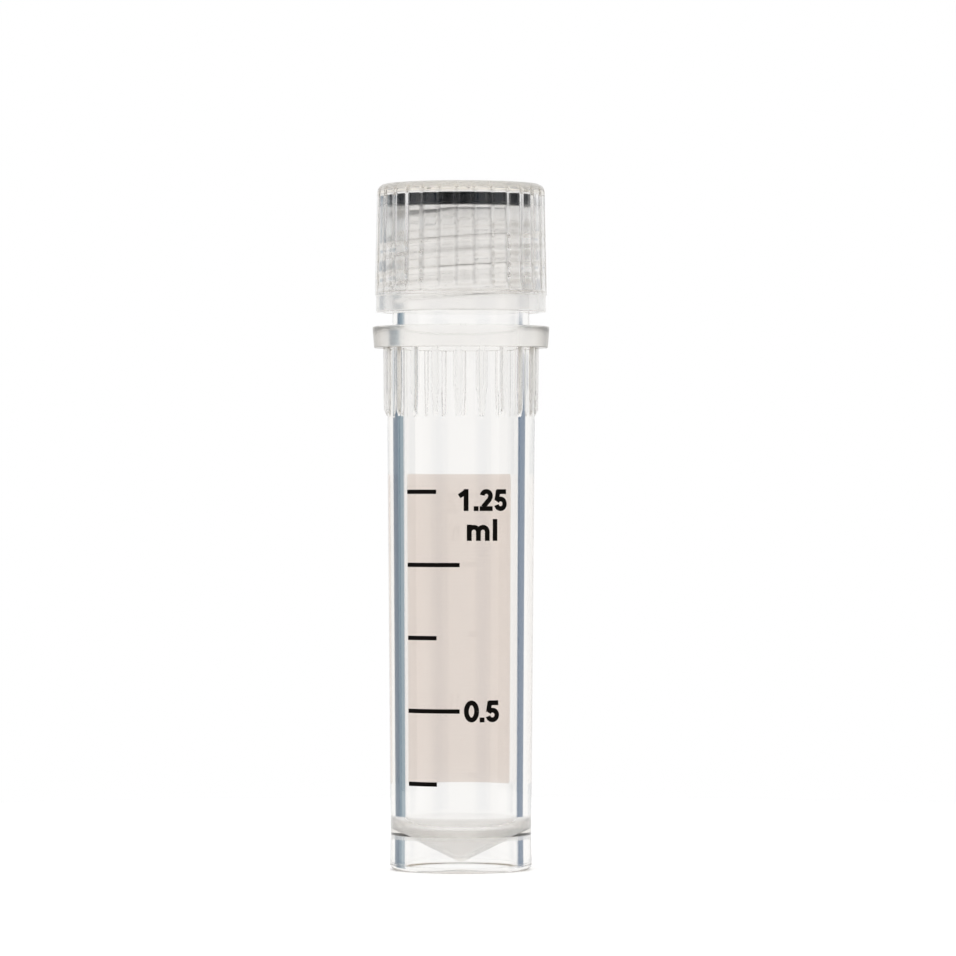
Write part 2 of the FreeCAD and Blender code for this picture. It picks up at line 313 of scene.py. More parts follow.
# %% Helpers that place, fade and move points
def place_on_shell(tree):
    """Place, radius and angle of the point that a tree is working on."""
    position = tree.nodes.new("GeometryNodeInputPosition")
    x, y, z = add(tree, "ShaderNodeSeparateXYZ", Vector=position.outputs[0]).outputs
    return x, y, z, from_axis(tree, x, y), calc(tree, "ARCTAN2", y, x)


def ramp(tree, value, start, end):
    """0 below start, 1 above end and straight between them."""
    return calc(tree, "DIVIDE", minus(tree, value, start), minus(tree, end, start), clamp=True)


def rounded(tree, flat, share):
    """A straight flank, eased at both ends by a share from 0 to 1."""
    smooth = times(tree, flat, flat, minus(tree, 3.0, times(tree, flat, 2.0)))
    return calc(tree, "ADD", flat, times(tree, minus(tree, smooth, flat), share))


def move_marked(tree, source, x, y, radius, height, label):
    """Moves the marked points out or in by a height, and ends the tree."""
    given = source.outputs
    mark = add(tree, "GeometryNodeInputNamedAttribute", Name=label)
    amount = times(tree, height, mark.outputs[0], given["Side"])
    share = calc(tree, "DIVIDE", amount, radius)
    move = add(tree, "ShaderNodeCombineXYZ", X=times(tree, x, share), Y=times(tree, y, share))
    moved = add(tree, "GeometryNodeSetPosition", Geometry=given["Shell"], Offset=move.outputs[0])
    finish_tree(tree, source, moved.outputs[0])


print("helpers on the shell: place_on_shell, ramp, rounded, move_marked")

# %% [markdown]
# The first tree makes straight ridges round the axis. Thin boxes joined by Booleans would do it too,
# with ragged seams. The tree measures how far a point lies, along the curve, from the nearest ridge,
# and lifts it by the flank's slope, up to the ridge's height. Height and width fade at the lower end.

# %% A tree that raises or sinks ridges round the axis
RIDGE_INPUTS = ("Count", "Turn", "Width", "Slope", "Height", "Side", "Rounding", "Low End",
                "Full Height At", "Low Share", "Full Width At")
LEAST_HEIGHT = MM * 0.001


def make_ridge_tree():
    """Ridges where the points are marked as ridged."""
    tree, source = new_geometry_tree("Ridges round the axis", RIDGE_INPUTS)
    given = source.outputs
    x, y, z, radius, angle = place_on_shell(tree)
    pitch = calc(tree, "DIVIDE", math.tau, given["Count"])
    steps = calc(tree, "DIVIDE", minus(tree, angle, given["Turn"]), pitch)
    off = calc(tree, "ABSOLUTE", minus(tree, steps, calc(tree, "ROUND", steps)))
    distance = times(tree, off, times(tree, pitch, radius))
    widening = ramp(tree, z, given["Low End"], given["Full Width At"])
    missing = minus(tree, 1.0, given["Low Share"])
    width = calc(tree, "MULTIPLY_ADD", widening, missing, given["Low Share"])
    half = times(tree, width, given["Width"], 0.5)
    flank = times(tree, minus(tree, half, distance), given["Slope"])
    rising = ramp(tree, z, given["Low End"], given["Full Height At"])
    top = times(tree, rising, given["Height"])
    climb = calc(tree, "DIVIDE", flank, calc(tree, "MAXIMUM", top, LEAST_HEIGHT), clamp=True)
    height = times(tree, rounded(tree, climb, given["Rounding"]), top)
    move_marked(tree, source, x, y, radius, height, "ridged")
    return tree


ridge_tree = make_ridge_tree()
print("ridge tree:", len(ridge_tree.nodes), "nodes")

# %% [markdown]
# A thread is the same idea along a helix. The height of a point, counted in pitches and less its
# share of a turn, is a whole number on the ridge's crest line. The rounded number says which turn of
# the thread this is, so the ridge can fade in and out at its two ends as a moulded thread does.

# %% A tree that raises a thread
THREAD_INPUTS = ("Pitch", "Height", "Side", "Root Width", "Crest Width", "Rounding", "Start Height",
                 "Start Turn", "Turns", "Run-out", "Top")


def make_thread_tree():
    """A right-handed thread where the points are marked as threaded."""
    tree, source = new_geometry_tree("Thread", THREAD_INPUTS)
    given = source.outputs
    x, y, z, radius, angle = place_on_shell(tree)
    turned_by = calc(tree, "DIVIDE", minus(tree, angle, given["Start Turn"]), math.tau)
    share = calc(tree, "FRACT", turned_by)
    climbed = calc(tree, "DIVIDE", minus(tree, z, given["Start Height"]), given["Pitch"])
    along = minus(tree, climbed, share)
    crest = calc(tree, "ROUND", along)
    off = calc(tree, "ABSOLUTE", minus(tree, along, crest))
    distance = times(tree, off, given["Pitch"])
    root = times(tree, given["Root Width"], 0.5)
    tip = times(tree, given["Crest Width"], 0.5)
    flank = rounded(tree, ramp(tree, distance, root, tip), given["Rounding"])
    travelled = calc(tree, "ADD", crest, share)
    remaining = minus(tree, given["Turns"], travelled)
    fade_in = calc(tree, "DIVIDE", travelled, given["Run-out"], clamp=True)
    fade_out = calc(tree, "DIVIDE", remaining, given["Run-out"], clamp=True)
    fade = calc(tree, "MINIMUM", fade_in, fade_out)
    ridge = times(tree, flank, fade, given["Height"])
    room = calc(tree, "MAXIMUM", minus(tree, given["Top"], z), 0.0)
    height = calc(tree, "MINIMUM", ridge, room)
    move_marked(tree, source, x, y, radius, height, "threaded")
    return tree


thread_tree = make_thread_tree()
print("thread tree:", len(thread_tree.nodes), "nodes")

# %% [markdown]
# ## Clear polypropylene
#
# Polypropylene is never as clean as glass, because clear and dull crystals lie side by side in it.
# One even roughness would blur all that lies behind, so a fine speckle picks a clear or a dull
# roughness for each point, which veils the view and keeps its edges. Both plastics share one node
# group for this haze and for the slow waves of the mould.

# %% A shared group for the skin of a moulding
SKIN_INPUTS = ("Wave Depth", "Outer Haze", "Bore Haze", "Bore Radius", "Satin", "Satin Haze",
               "Clear Share")
WAVE_STRETCH = (1.0, 1.0, 0.35)
WAVE_SCALE = 260.0
CLEAR_SPOT = 0.03


def new_skin_group():
    """An empty shader group: the group, what it is given and what it gives."""
    group = bpy.data.node_groups.new("Mould skin", "ShaderNodeTree")
    for label in SKIN_INPUTS:
        group.interface.new_socket(label, in_out="INPUT", socket_type="NodeSocketFloat")
    group.interface.new_socket("Roughness", in_out="OUTPUT", socket_type="NodeSocketFloat")
    group.interface.new_socket("Normal", in_out="OUTPUT", socket_type="NodeSocketVector")
    return group, group.nodes.new("NodeGroupInput").outputs, group.nodes.new("NodeGroupOutput").inputs


def object_places(tree):
    """Each point's place in the object's own coordinates."""
    return tree.nodes.new("ShaderNodeTexCoord").outputs["Object"]


def blend_of(tree, first, second, share):
    """The first value where share is 0 and the second where it is 1."""
    return calc(tree, "MULTIPLY_ADD", minus(tree, second, first), share, first)


def make_mould_skin():
    """Slow waves as a normal, and haze as a roughness on a speckle of clear and dull spots."""
    group, given, out = new_skin_group()
    places = object_places(group)
    stretched = add(group, "ShaderNodeMapping", Vector=places, Scale=WAVE_STRETCH)
    waves = add(group, "ShaderNodeTexNoise", Vector=stretched.outputs[0], Scale=WAVE_SCALE, Detail=1.0)
    bump = add(group, "ShaderNodeBump", Height=waves.outputs["Fac"], Distance=given["Wave Depth"])
    x, y, _ = add(group, "ShaderNodeSeparateXYZ", Vector=places).outputs
    inside = calc(group, "LESS_THAN", from_axis(group, x, y), given["Bore Radius"])
    smooth = blend_of(group, given["Outer Haze"], given["Bore Haze"], inside)
    dull = blend_of(group, smooth, given["Satin Haze"], given["Satin"])
    speckle = add(group, "ShaderNodeTexWhiteNoise", Vector=places)
    is_dull = calc(group, "GREATER_THAN", speckle.outputs["Value"], given["Clear Share"])
    feed(group, out["Roughness"], blend_of(group, CLEAR_SPOT, dull, is_dull))
    feed(group, out["Normal"], bump.outputs[0])
    return group


mould_skin = make_mould_skin()
print("skin group:", len(mould_skin.nodes), "nodes")

# %% [markdown]
# Thick places look warm grey through plain absorption in the volume, which knows the thickness where
# a painted tint would not. A duller finish is marked on the points as satin. Points marked as shade
# get a second, darker colour. This is painted shade: it draws the dark lines of grooves, steep flanks
# and the floor that bent light would show.

# %% The two clear materials
PLASTIC_IOR = 1.49
DEPTH_COLOUR = (0.42, 0.27, 0.0)
DEPTH_DENSITY = 26.0


def new_material(name):
    """A new material, its tree and its Principled node."""
    material = bpy.data.materials.new(name)
    material.use_nodes = True
    return material, material.node_tree, material.node_tree.nodes["Principled BSDF"]


def two_colours(tree, share, first, second):
    """The first colour where share is 0 and the second where it is 1."""
    mix = add(tree, "ShaderNodeMix", {"data_type": "RGBA"}, Factor=share)
    mix.inputs["A"].default_value = (*first, 1.0)
    mix.inputs["B"].default_value = (*second, 1.0)
    return mix.outputs["Result"]


def clear_plastic(name, colour, painted_shade_colour, **skin_values):
    """Clear plastic with the mould's skin, painted shade where it is marked as shade, and a colour in the
    depth.
    """
    material, tree, shader = new_material(name)
    satin = add(tree, "ShaderNodeAttribute", {"attribute_name": "satin"}).outputs["Fac"]
    shade = add(tree, "ShaderNodeAttribute", {"attribute_name": "shade"}).outputs["Fac"]
    skin = add(tree, "ShaderNodeGroup", {"node_tree": mould_skin}, Satin=satin, **skin_values)
    feed_node(tree, shader, Base_Color=two_colours(tree, shade, colour, painted_shade_colour), IOR=PLASTIC_IOR,
              Transmission_Weight=1.0, Roughness=skin.outputs["Roughness"],
              Normal=skin.outputs["Normal"])
    depth = add(tree, "ShaderNodeVolumeAbsorption", Color=(*DEPTH_COLOUR, 1.0), Density=DEPTH_DENSITY)
    tree.links.new(depth.outputs[0], tree.nodes["Material Output"].inputs["Volume"])
    print(name, "has", len(tree.nodes), "nodes")
    return material


# The second colour of each plastic is its painted shade, a darker tint laid where points are marked as
# shade.
tube_plastic = clear_plastic(
    "Clear polypropylene, tube", (0.996, 0.994, 0.992), (0.62, 0.59, 0.56), Wave_Depth=0.0003 * MM,
    Outer_Haze=0.03, Bore_Haze=0.05, Bore_Radius=4.4 * MM, Satin_Haze=0.35, Clear_Share=0.3)
cap_plastic = clear_plastic(
    "Clear polypropylene, cap", (0.996, 0.992, 0.988), (0.58, 0.58, 0.59), Wave_Depth=0.0001 * MM,
    Outer_Haze=0.08, Bore_Haze=0.05, Bore_Radius=5.5 * MM, Satin_Haze=0.38, Clear_Share=0.3)

# %% [markdown]
# ## The tube
#
# One moulding: a hollow foot to stand on, a conical floor, a long wall that narrows slightly towards
# the foot, twenty fins that stop the tube turning in a rack, a collar, and the threaded neck. It
# could be stacked cylinders, but every joint would show as a line in the clear plastic. One closed
# section, from the axis round the outside and back inside, shows none.

# %% The tube's shell
FOOT_BORE = 4.02
FOOT_RADIUS = 5.0
FLOOR_CORNER = 3.18
FLOOR_TIP = 1.27
UNDER_TIP = FLOOR_TIP - 0.72
SATIN_LOW = WALL_LOW[1] - 0.3
BORE_LOW = 3.95
BORE_TOP = 4.12
FIN_LOW = COLLAR_BOTTOM - 4.8
COLLAR_RADIUS = 6.24
COLLAR_TAPER = 0.12
SOFT_EDGE = 0.08
FIN_SKIN = (5.1, 5.6)
NECK_SKIN = (4.6, 4.9)

tube_rows = section([
    corner(0, UNDER_TIP),
    corner(0.2, UNDER_TIP, SOFT_EDGE),
    corner(FOOT_BORE, WALL_LOW[1], 0.012),
    corner(FOOT_BORE, SATIN_LOW),
    corner(FOOT_BORE, 0, 0.15),
    corner(FOOT_RADIUS, 0, 0.4),
    corner(*WALL_LOW),
    corner(wall_radius(FIN_LOW - 0.1), FIN_LOW - 0.1, 0, 0.07),
    corner(wall_radius(FIN_LOW + 0.6), FIN_LOW + 0.6, 0, 0.35),
    corner(*WALL_TOP, 0.06),
    corner(COLLAR_RADIUS - COLLAR_TAPER, COLLAR_BOTTOM, SOFT_EDGE),
    corner(COLLAR_RADIUS, COLLAR_TOP, SOFT_EDGE),
    corner(NECK_RADIUS, COLLAR_TOP, SOFT_EDGE),
    corner(NECK_RADIUS, THREAD_START - 0.7, 0, 0.08),
    corner(NECK_RADIUS, RIM, 0.15),
    corner(BORE_TOP, RIM, 0.12),
    corner(BORE_LOW, FLOOR_CORNER, 1.0),
    corner(0.35, FLOOR_TIP, 0.3),
    corner(0, FLOOR_TIP),
])


def on_fins(radius, height):
    """The wall's outside under the collar, where the fins rise."""
    return float(FIN_SKIN[0] < radius < FIN_SKIN[1] and FIN_LOW - 0.5 < height <= COLLAR_BOTTOM)


def on_neck(radius, height):
    """The neck's outside, where the thread rises."""
    return float(NECK_SKIN[0] < radius < NECK_SKIN[1] and height > COLLAR_TOP)


FIN_COUNT = 20
FIN_TURN = math.radians(16.1)
FIN_COLUMNS = (0.0, 0.8, 1.25, 1.7, 2.1, 2.5, 2.9, 3.5, 5.2, 7.1)


def fin_angles():
    """Angles round the tube, close together over the flanks of each fin."""
    half = [math.radians(step) for step in FIN_COLUMNS]
    around = [-step for step in reversed(half[1:])] + half
    return [FIN_TURN + math.tau * i / FIN_COUNT + step for i in range(FIN_COUNT) for step in around]


tube = turned("vial_tube", tube_rows, fin_angles(), [("ridged", on_fins), ("threaded", on_neck)])

# %% [markdown]
# The fins narrow and sink at their lower ends, so that the vial finds its way into a rack. The thread
# is right-handed and ends just under the rim. Both trees get their numbers through named inputs, so
# another vial could use them with other sizes.

# %% Fins and neck thread
run_tree(tube, ridge_tree, {
    "Material": tube_plastic,
    "Count": float(FIN_COUNT),
    "Turn": FIN_TURN,
    "Width": 0.58 * MM,
    "Slope": 1.4,
    "Height": 0.24 * MM,
    "Side": 1.0,
    "Rounding": 1.0,
    "Low End": FIN_LOW * MM,
    "Full Height At": (FIN_LOW + 0.45) * MM,
    "Low Share": 0.62,
    "Full Width At": (FIN_LOW + 2.0) * MM,
})
run_tree(tube, thread_tree, {
    "Material": tube_plastic,
    "Pitch": THREAD_PITCH * MM,
    "Height": THREAD_HEIGHT * MM,
    "Side": 1.0,
    "Root Width": 0.95 * MM,
    "Crest Width": 0.45 * MM,
    "Rounding": 0.2,
    "Start Height": THREAD_START * MM,
    "Start Turn": math.pi,
    "Turns": (RIM - THREAD_START) / THREAD_PITCH,
    "Run-out": 0.3,
    "Top": (RIM - 0.2) * MM,
})

# %% [markdown]
# The floor, the collar and the fins leave the mould duller than the wall. A second material would
# change at a hard line, but a share kept on each point fades from one finish to the other.

# %% Where the tube is satin and where shade is painted
# The floor's share of painted shade; the thread's flanks get up to all of it.
FLOOR_PAINTED_SHADE = 0.28
FLOOR_SATIN = 1.0
COLLAR_SATIN = 0.85
FIN_SATIN = 1.6
OFF_WALL = 0.05
INSIDE = FOOT_BORE + 0.03
FLOOR_EDGE = FOOT_BORE - 0.12
FLOOR_REACH = FLOOR_CORNER + 0.6
UNDER_FLOOR = 0.2
FIRST_FLANK = THREAD_START + 0.8
COLLAR_SKIN = (COLLAR_BOTTOM - 0.02, COLLAR_TOP + 0.02)
FLANK_FADE = 2.4


def mark_points(obj, label, weigh):
    """Marks a share on each point of a moulding, by a rule on radius and height."""
    layer = obj.data.attributes.new(label, "FLOAT", "POINT")
    for vert in obj.data.vertices:
        layer.data[vert.index].value = weigh(vert.co.xy.length / MM, vert.co.z / MM)
    print(obj.name, label, "points:", sum(d.value > 0 for d in layer.data), "of", len(layer.data))


def on_floor(radius, height):
    """Both faces of the tube's floor."""
    low = UNDER_FLOOR if radius < FLOOR_EDGE else SATIN_LOW
    return float(radius < INSIDE and low < height < FLOOR_REACH)


def satin_on_tube(radius, height):
    """The tube's floor, its collar and, most of all, its fins."""
    if radius < INSIDE:
        return FLOOR_SATIN * on_floor(radius, height)
    if height > COLLAR_SKIN[0]:
        return COLLAR_SATIN * (radius > WALL_TOP[0] + OFF_WALL and height < COLLAR_SKIN[1])
    return FIN_SATIN * (radius > wall_radius(height) + OFF_WALL)


def painted_shade_on_tube(radius, height):
    """Painted shade on the steep flanks of the neck's thread, and a little on the floor."""
    if height < FIRST_FLANK:
        return FLOOR_PAINTED_SHADE * on_floor(radius, height)
    up_flank = (radius - NECK_RADIUS) / THREAD_HEIGHT
    return max(0.0, 1.0 - abs(up_flank - 0.5) * FLANK_FADE)


mark_points(tube, "satin", satin_on_tube)
mark_points(tube, "shade", painted_shade_on_tube)
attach(tube, "tube_body")
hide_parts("tube")

# %% [markdown]
# ## The cap
#
# The cap's side carries thirty narrow grip grooves that run out just above a plain lip, and die out
# over the rounded top edge, because a straight cutter meets less and less plastic there. The cap is
# made in the same way as the tube, but in even steps, which suit its many grooves.

# %% The cap's shell
SEAT_GAP = 0.02
CAP_BOTTOM = cap_low.z / MM
CAP_TOP = cap_high.z / MM
CAP_CEILING = ring_high.z / MM + SEAT_GAP
CAP_BORE = 5.35
CAP_RADIUS = 5.90
CAP_LOW_RADIUS = 6.06
CAP_COLUMNS = 480
LIP_BORE = 5.47
LIP_RADIUS = 6.0
LIP_TOP = CAP_BOTTOM + 1.15
GROOVE_DEPTH = 0.2
GROOVE_FADE = 0.1
INNER_LOW = CAP_BOTTOM + 1.47

cap_rows = section([
    corner(0, CAP_CEILING),
    corner(CAP_BORE, CAP_CEILING, 0.2),
    corner(CAP_BORE, CAP_CEILING - 1.2, 0, 0.08),
    corner(CAP_BORE, INNER_LOW),
    corner(LIP_BORE, CAP_BOTTOM + 1.35, 0.05),
    corner(LIP_BORE, CAP_BOTTOM, 0.1),
    corner(LIP_RADIUS, CAP_BOTTOM, 0.14),
    corner(LIP_RADIUS, LIP_TOP, 0.025),
    corner(CAP_LOW_RADIUS, LIP_TOP + 0.05, 0.025, 0.08),
    corner(CAP_LOW_RADIUS - 0.02, LIP_TOP + 1.1),
    corner(CAP_RADIUS, CAP_TOP, 0.62),
    corner(0, CAP_TOP),
])


def share_between(value):
    """A value held between 0 and 1."""
    return min(1.0, max(0.0, value))


def on_grip(radius, height):
    """The cap's side above the lip, fading out over the rounded top edge."""
    reach = share_between((radius - CAP_RADIUS) / GROOVE_FADE + 1.0)
    return reach if height > LIP_TOP - 0.05 else 0.0


def in_bore(radius, height):
    """The cap's bore, where its own thread rises."""
    return float(abs(radius - CAP_BORE) < 0.02 and INNER_LOW - 0.1 < height < CAP_CEILING - 0.5)


cap = turned("cap_shell", cap_rows, even_angles(CAP_COLUMNS),
             [("ridged", on_grip), ("threaded", in_bore)])

# %% [markdown]
# The cap's thread starts three quarters of a turn after the neck's and lies in the gap below its
# ridge. It is drawn lower and rounder than the solid's, because through two clear walls a full one
# reads as a hard dark line.

# %% Grip grooves and the cap's own thread
INNER_OFFSET = 0.805
INNER_DELAY = 0.75
INNER_START = THREAD_START - INNER_OFFSET + THREAD_PITCH * INNER_DELAY
GROOVE_FULL_AT = LIP_TOP + 0.9
run_tree(cap, ridge_tree, {
    "Material": cap_plastic,
    "Count": 30.0,
    "Turn": math.radians(3.0),
    "Width": 0.42 * MM,
    "Slope": 0.95,
    "Height": GROOVE_DEPTH * MM,
    "Side": -1.0,
    "Rounding": 0.0,
    "Low End": LIP_TOP * MM,
    "Full Height At": GROOVE_FULL_AT * MM,
    "Low Share": 0.0,
    "Full Width At": GROOVE_FULL_AT * MM,
})
run_tree(cap, thread_tree, {
    "Material": cap_plastic,
    "Pitch": THREAD_PITCH * MM,
    "Height": 0.2 * MM,
    "Side": -1.0,
    "Root Width": 1.3 * MM,
    "Crest Width": 0.2 * MM,
    "Rounding": 1.0,
    "Start Height": INNER_START * MM,
    "Start Turn": math.pi * 0.5,
    "Turns": 2.25,
    "Run-out": 0.12,
    "Top": CAP_TOP * MM,
})

# %% [markdown]
# The cap is duller on its top, on its ceiling and in its bore below the seal. Beside the seal the
# bore stays clear, so that the black ring keeps hard edges. Each groove gets painted shade, darker
# where it is deep.

# %% Where the cap is satin and where shade is painted
BORE_SKIN = CAP_BORE + 0.15
BELOW_SEAL = ring_low.z / MM - 0.1
SATIN_TOP = CAP_TOP - 0.45
GROOVED = (LIP_TOP + 0.1, CAP_TOP - 0.6)


def satin_on_cap(radius, height):
    """The cap's top, its ceiling over the seal, and its bore below the seal."""
    bore = radius < BORE_SKIN and height < BELOW_SEAL
    return float(bore or height > SATIN_TOP or abs(height - CAP_CEILING) < 0.01)


def painted_shade_in_grooves(radius, height):
    """How deep in a grip groove a point lies, as a share of the full depth, which sets its painted shade."""
    if radius < CAP_BORE + 0.2 or not GROOVED[0] <= height <= GROOVED[1]:
        return 0.0
    share = (height - LIP_TOP) / (CAP_TOP - LIP_TOP)
    plain = CAP_LOW_RADIUS + (CAP_RADIUS - CAP_LOW_RADIUS) * share
    return share_between((plain - 0.02 - radius) / GROOVE_DEPTH)


mark_points(cap, "satin", satin_on_cap)
# The grooves' painted shade darkens them by their depth.
mark_points(cap, "shade", painted_shade_in_grooves)
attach(cap, "cap_body")
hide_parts("screw_cap")

# %% [markdown]
# ## The sealing ring
#
# A flat ring of black silicone, soft and matt: a high roughness, hardly any shine and a very fine
# grain are enough. Every matt finish here lets one grain move colour, height and roughness
# together, as they have one cause.

# %% Matt finishes and the ring's rubber
MATT = 0.5


def paint_matt(tree, shader, pattern, dark, light, depth, spread):
    """Lets one pattern move the colour, the height and the roughness of a matt finish."""
    bump = add(tree, "ShaderNodeBump", Height=pattern, Distance=depth)
    feed_node(tree, shader, Base_Color=two_colours(tree, pattern, dark, light), Normal=bump.outputs[0],
              Roughness=calc(tree, "MULTIPLY_ADD", pattern, spread, MATT))


def grain_of(tree, scale):
    """A fine noise in the object's own coordinates."""
    noise = add(tree, "ShaderNodeTexNoise", Vector=object_places(tree), Scale=scale)
    return noise.outputs["Fac"]


def make_rubber():
    """Black silicone rubber with hardly any shine."""
    material, tree, shader = new_material("Black silicone rubber")
    paint_matt(tree, shader, grain_of(tree, 5200.0), (0.0005, 0.001, 0.002), (0.002, 0.003, 0.005),
               depth=0.012 * MM, spread=0.12)
    feed_node(tree, shader, Specular_IOR_Level=0.03)
    return material


rubber = make_rubber()
print(rubber.name, "has", len(rubber.node_tree.nodes), "nodes")

# %% [markdown]
# The ring is turned from a closed section. It starts in the middle of the underside, so that the
# seam lies between two flat rows.

# %% The ring's shell
RING_WIDTH = 1.45
RING_COLUMNS = 240
RING_EDGE = 0.1
ring_bottom, ring_top = ring_low.z / MM, ring_high.z / MM
ring_outer = ring_high.x / MM
ring_inner = ring_outer - RING_WIDTH
ring_middle = (ring_inner + ring_outer) / 2
ring_rows = section([
    corner(ring_middle, ring_bottom),
    corner(ring_outer, ring_bottom, RING_EDGE),
    corner(ring_outer, ring_top, RING_EDGE),
    corner(ring_inner, ring_top, RING_EDGE),
    corner(ring_inner, ring_bottom, RING_EDGE),
    corner(ring_middle - GUARD, ring_bottom),
])
seal = turned("seal_band", ring_rows, even_angles(RING_COLUMNS), [], closed=True)
seal.data.materials.append(rubber)
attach(seal, "seal_body")
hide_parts("sealing_ring")

# %% [markdown]
# ## The writing panel
#
# A blank rectangle of pale ink, screen-printed over a little more than a third of the way round. A
# plane could be wrapped with a modifier, but points laid straight onto the drafted wall keep their
# distance to the plastic everywhere. It is a closed skin with a front, a back and a rim.

# %% The panel's skin
PANEL_MIDDLE = math.radians(96.25)
PANEL_ANGLE = math.radians(132.5)
PANEL_CORNER = 0.4
PANEL_COLUMNS = 96
PANEL_ROWS = 24
CORNER_STEPS = 6
SHARP_FROM = math.radians(40)
INK_GAP = 0.02
INK_THICKNESS = 0.05


def edge_steps(length):
    """Places along a side, close together inside the two rounded corners."""
    ends = [PANEL_CORNER * (1 - math.cos(math.pi / 2 * i / CORNER_STEPS)) for i in range(CORNER_STEPS)]
    bulk = length - 2 * PANEL_CORNER
    middle = [PANEL_CORNER + bulk * i / PANEL_COLUMNS for i in range(PANEL_COLUMNS + 1)]
    return ends + middle + [length - e for e in reversed(ends)]


def corner_cut(along, length):
    """How far a rounded corner has pulled the top and bottom edges in, at a place along the side."""
    inside = max(0.0, PANEL_CORNER - min(along, length - along))
    return PANEL_CORNER - math.sqrt(max(PANEL_CORNER ** 2 - inside ** 2, 0.0))


def panel_layer(offset):
    """One side of the ink: a grid of points on the drafted wall, with rounded corners."""
    bottom, top = panel_low.z / MM, panel_high.z / MM
    width = PANEL_ANGLE * (wall_radius(bottom) + wall_radius(top)) / 2
    points = []
    for along in edge_steps(width):
        angle = PANEL_MIDDLE - PANEL_ANGLE / 2 + PANEL_ANGLE * along / width
        cut = corner_cut(along, width)
        span = top - bottom - 2 * cut
        heights = [bottom + cut + span * i / PANEL_ROWS for i in range(PANEL_ROWS + 1)]
        points.append([place_at(wall_radius(height) + offset, angle, height) for height in heights])
    return points


def skin_mesh(name, inner, outer):
    """Joins two grids of points into one closed thin skin."""
    columns, rows = len(outer), len(outer[0])
    verts = [p for layer in (outer, inner) for column in layer for p in column]
    faces = []

    def join(*corners):
        faces.append([(layer * columns + i) * rows + j for layer, i, j in corners])

    for i in range(columns - 1):
        for j in range(rows - 1):
            join((0, i, j), (0, i + 1, j), (0, i + 1, j + 1), (0, i, j + 1))
            join((1, i, j), (1, i, j + 1), (1, i + 1, j + 1), (1, i + 1, j))
    last = rows - 1
    for i in range(columns - 1):
        join((1, i, 0), (1, i + 1, 0), (0, i + 1, 0), (0, i, 0))
        join((0, i, last), (0, i + 1, last), (1, i + 1, last), (1, i, last))
    last = columns - 1
    for j in range(rows - 1):
        join((0, 0, j), (0, 0, j + 1), (1, 0, j + 1), (1, 0, j))
        join((1, last, j), (1, last, j + 1), (0, last, j + 1), (0, last, j))
    obj = place_mesh(name, verts, faces)
    obj.data.shade_smooth()
    obj.data.set_sharp_from_angle(angle=SHARP_FROM)
    print(name, len(faces), "faces")
    return obj


panel = skin_mesh("panel_ink", panel_layer(INK_GAP), panel_layer(INK_GAP + INK_THICKNESS))

# %% [markdown]
# The mesh of the printing screen leaves fine level lines in thick ink, so colour and height both
# carry them. The two sides of the skin have colours of their own. The outer side has the ink's own
# colour. The inner side, which shows through the tube, is painted lighter as painted backlight, for
# the light from behind that comes through the thin ink.

# %% Screen-printed ink
LINE_SCALE = 1150.0
LINE_SHARE = 0.45
SPECKLE_SHARE = 0.55


def make_panel_ink(name, dark, light):
    """Matt ink with the level lines of a printing screen."""
    material, tree, shader = new_material(name)
    lines = add(tree, "ShaderNodeTexWave", {"bands_direction": "Z", "wave_profile": "SIN"},
                Vector=object_places(tree), Scale=LINE_SCALE, Distortion=0.6, Detail=1.0)
    speckle = times(tree, grain_of(tree, 3200.0), SPECKLE_SHARE)
    both = calc(tree, "MULTIPLY_ADD", lines.outputs["Fac"], LINE_SHARE, speckle)
    paint_matt(tree, shader, both, dark, light, depth=0.006 * MM, spread=0.2)
    return material


# The outer side has the ink's own colour; the inner side is painted lighter, as painted backlight through
# the thin ink.
panel.data.materials.append(make_panel_ink("Pale ink, outer side", (0.68, 0.61, 0.55), (0.75, 0.69, 0.63)))
panel.data.materials.append(make_panel_ink("Pale ink, inner side with painted backlight", (0.85, 0.79, 0.76), (0.90, 0.84, 0.81)))
for face in panel.data.polygons:
    outward = face.normal.x * face.center.x + face.normal.y * face.center.y
    face.material_index = int(outward < -0.5 * face.center.xy.length)
print("inner side with painted backlight on", sum(face.material_index for face in panel.data.polygons), "faces")
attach(panel, "tube_body")
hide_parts("writing_panel")

# %% [markdown]
# ## Volume marks
#
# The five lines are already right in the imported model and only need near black, matt ink.

# %% Black ink
def make_mark_ink():
    """Near black printed ink."""
    material, tree, shader = new_material("Black printed ink")
    paint_matt(tree, shader, grain_of(tree, 6000.0), (0.002, 0.0015, 0.001), (0.005, 0.004, 0.003),
               depth=0.004 * MM, spread=0.15)
    feed_node(tree, shader, Specular_IOR_Level=0.04)
    return material


mark_ink = make_mark_ink()
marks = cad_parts["graduation_marks"]
marks.data.materials.clear()
marks.data.materials.append(mark_ink)
print("volume marks painted with", mark_ink.name)

# %% [markdown]
# The numbers could come from a text object, but a plain sign painter's way gives the heavy even
# strokes of a screen print: each letter is a few pen strokes of one width, straight or bowed. All
# measures are shares of a capital's height, so one value sets the size of the text.

# %% Letters drawn with a pen of one width
PEN = 0.22
HALF = PEN / 2
X_HEIGHT = 0.74
ARCH = 0.21
FOOT = 0.41
LINE_STEP = 0.08
BOW_STEP = 8


def line(x1, y1, x2, y2):
    """A straight pen stroke, cut short enough to bend round the wall."""
    start, end = Vector((x1, y1)), Vector((x2, y2))
    count = max(1, math.ceil((end - start).length / LINE_STEP))
    return [start.lerp(end, i / count) for i in range(count + 1)]


